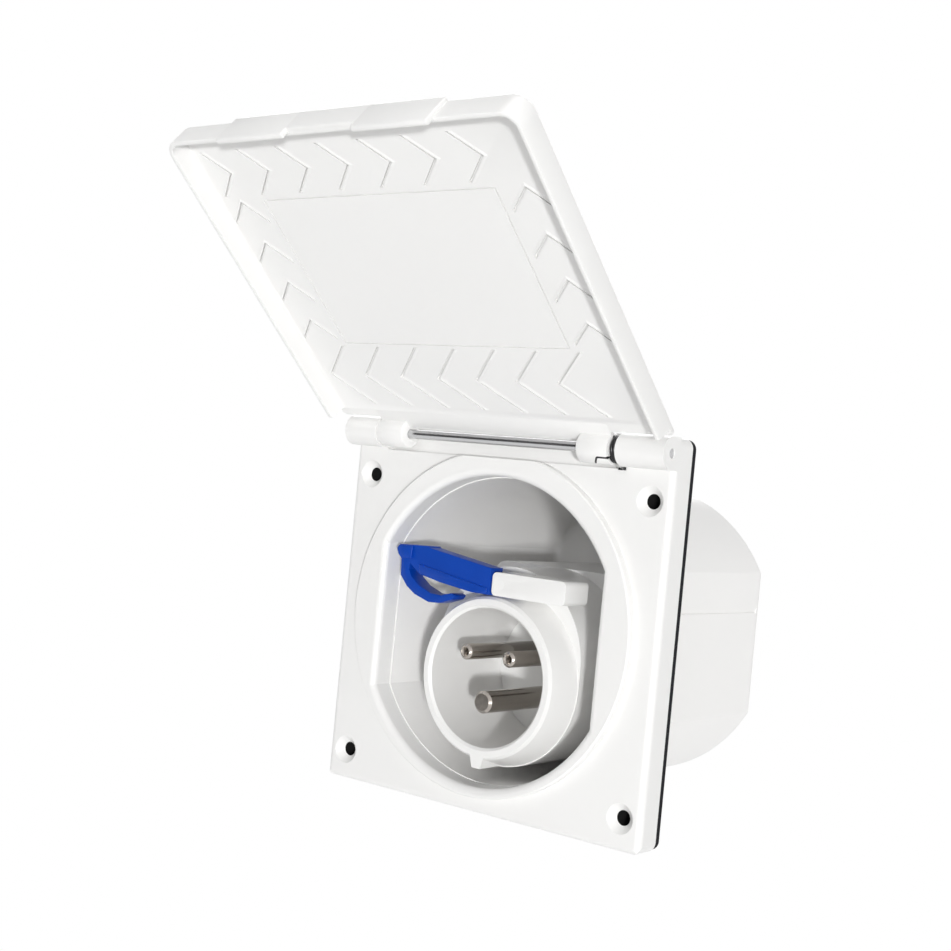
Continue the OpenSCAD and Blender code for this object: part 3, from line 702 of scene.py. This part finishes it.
def hollowPin(nodeName):
    corners = [Vector(c) / mm for c in nodes[nodeName].bound_box]
    low = [min(c[k] for c in corners) for k in range(3)]
    high = [max(c[k] for c in corners) for k in range(3)]
    middleX, middleZ = (low[0] + high[0]) / 2, (low[2] + high[2]) / 2
    tool = bmesh.new()
    addRod(tool, middleX, middleZ, tipSizes["radius"], low[1] - tipSizes["over"], low[1] + tipSizes["depth"])
    work = subtract(mergedCopy(nodeName), tool)
    return smoothMesh(meshFrom(work, nodeName + "Hollow"), tipSizes["sharp"])


for nodeName, pieceName in tipSizes["pins"].items():
    addPiece(pieceName, hollowPin(nodeName), "housing", slotOf[nodeName], nodeName)
print("pin tips hollowed")


# floor: shown as plain white, but it lights and shades as a pale surface; from here on in metres
floorSizes = {"z": -0.24, "half": 4.0, "white": (0.96, 0.96, 0.96), "rough": 0.9, "shown": 1.0}


def seenDirectly(tree):
    path = tree.nodes.new("ShaderNodeLightPath")
    seen = path.outputs["Is Camera Ray"]
    for ray in ("Is Glossy Ray", "Is Transmission Ray"):
        either = tree.nodes.new("ShaderNodeMath")
        either.operation = "MAXIMUM"
        tree.links.new(seen, either.inputs[0])
        tree.links.new(path.outputs[ray], either.inputs[1])
        seen = either.outputs[0]
    return seen


def floorFinish():
    made, shader = newFinish("paleFloor")
    tree = made.node_tree
    shader.inputs["Base Color"].default_value = (*floorSizes["white"], 1)
    shader.inputs["Roughness"].default_value = floorSizes["rough"]
    glow = tree.nodes.new("ShaderNodeEmission")
    glow.inputs["Strength"].default_value = floorSizes["shown"]
    mixed = tree.nodes.new("ShaderNodeMixShader")
    tree.links.new(seenDirectly(tree), mixed.inputs[0])
    tree.links.new(shader.outputs[0], mixed.inputs[1])
    tree.links.new(glow.outputs[0], mixed.inputs[2])
    tree.links.new(mixed.outputs[0], tree.nodes["Material Output"].inputs["Surface"])
    return made


floorMesh = bpy.data.meshes.new("paleFloor")
h, z = floorSizes["half"], floorSizes["z"]
floorMesh.from_pydata([(-h, -h, z), (h, -h, z), (h, h, z), (-h, h, z)], [], [(0, 1, 2, 3)])
floorMesh.materials.append(floorFinish())
paleFloor = linkNew("paleFloor", floorMesh)


# sky and lamps; the fill only brightens and shows in no reflection
skySizes = {"strength": 0.31, "shown": 1.0}
lampSizes = {
    "key": {"at": (1.5, -1.608, -0.07), "aim": (0, -0.02, 0.02), "size": 0.15, "power": 30.5, "glossy": True},
    "fill": {"at": (-0.7, -1.9, 0.15), "aim": (0, 0, 0), "size": 1.2, "power": 3.5, "glossy": False},
    "top": {"at": (0.25, -0.3, 2.0), "aim": (0, 0, 0), "size": 1.2, "power": 8.5, "glossy": True},
    "side": {"at": (1.0, 0.5, 1.6), "aim": (0, 0, 0), "size": 1.2, "power": 0.6, "glossy": True},
    "rear": {"at": (-1.2, 1.5, 0.9), "aim": (0, 0, 0), "size": 1.2, "power": 12.0, "glossy": True},
}
world = bpy.data.worlds.new("studio")
bpy.context.scene.world = world
world.use_nodes = True
skyTree = world.node_tree
sky = skyTree.nodes["Background"]
sky.inputs["Color"].default_value = (1, 1, 1, 1)
skyLevel = mapTo(skyTree, seenDirectly(skyTree), skySizes["strength"], skySizes["shown"])
skyTree.links.new(skyLevel, sky.inputs["Strength"])
for name, row in lampSizes.items():
    lamp = bpy.data.lights.new(name, "AREA")
    lamp.size = row["size"]
    lamp.energy = row["power"]
    holder = linkNew(name, lamp)
    holder.location = row["at"]
    holder.rotation_euler = (Vector(row["aim"]) - Vector(row["at"])).to_track_quat("-Z", "Y").to_euler()
    holder.visible_glossy = row["glossy"]


# a dark card beside the camera, seen only in reflections, gives the metal its dark streaks
cardSizes = {"x": (-1.3, -0.15), "y": -0.95, "z": (-0.22, 0.75), "dark": (0.02, 0.02, 0.02)}
cardMesh = bpy.data.meshes.new("darkCard")
cardCorners = [(x, cardSizes["y"], z) for x in cardSizes["x"] for z in cardSizes["z"]]
cardMesh.from_pydata(cardCorners, [], [(0, 1, 3, 2)])
darkCard = linkNew("darkCard", cardMesh)
for ray in ("camera", "diffuse", "transmission", "volume_scatter", "shadow"):
    setattr(darkCard, "visible_" + ray, False)
cardFinish, cardShader = newFinish("darkCard")
cardShader.inputs["Base Color"].default_value = (*cardSizes["dark"], 1)
cardMesh.materials.append(cardFinish)


# camera, solved from the flange holes, edges and rings; angles in degrees, lens and sensor in mm
cameraSizes = {
    "at": (0.2849, -0.3855, 0.0479), "azimuth": 38.28, "elevation": -0.09, "roll": 5.47,
    "lens": 57.36, "sensor": 36, "clip": 0.01,
}
az, el, ro = (math.radians(cameraSizes[k]) for k in ("azimuth", "elevation", "roll"))
back = Vector((math.sin(az) * math.cos(el), -math.cos(az) * math.cos(el), math.sin(el)))
right = (-back).cross(Vector((0, 0, 1))).normalized()
up = right.cross(-back)
camX = right * math.cos(ro) + up * math.sin(ro)
camY = up * math.cos(ro) - right * math.sin(ro)
lens = bpy.data.cameras.new("photoCamera")
lens.lens = cameraSizes["lens"]
lens.sensor_width = cameraSizes["sensor"]
lens.clip_start = cameraSizes["clip"]
photoCamera = linkNew("photoCamera", lens)
turned = Matrix((camX, camY, back)).transposed().to_4x4()
photoCamera.matrix_world = Matrix.Translation(cameraSizes["at"]) @ turned
bpy.context.scene.camera = photoCamera
bpy.context.scene.view_settings.view_transform = "Standard"
print("stage, lights and camera set")
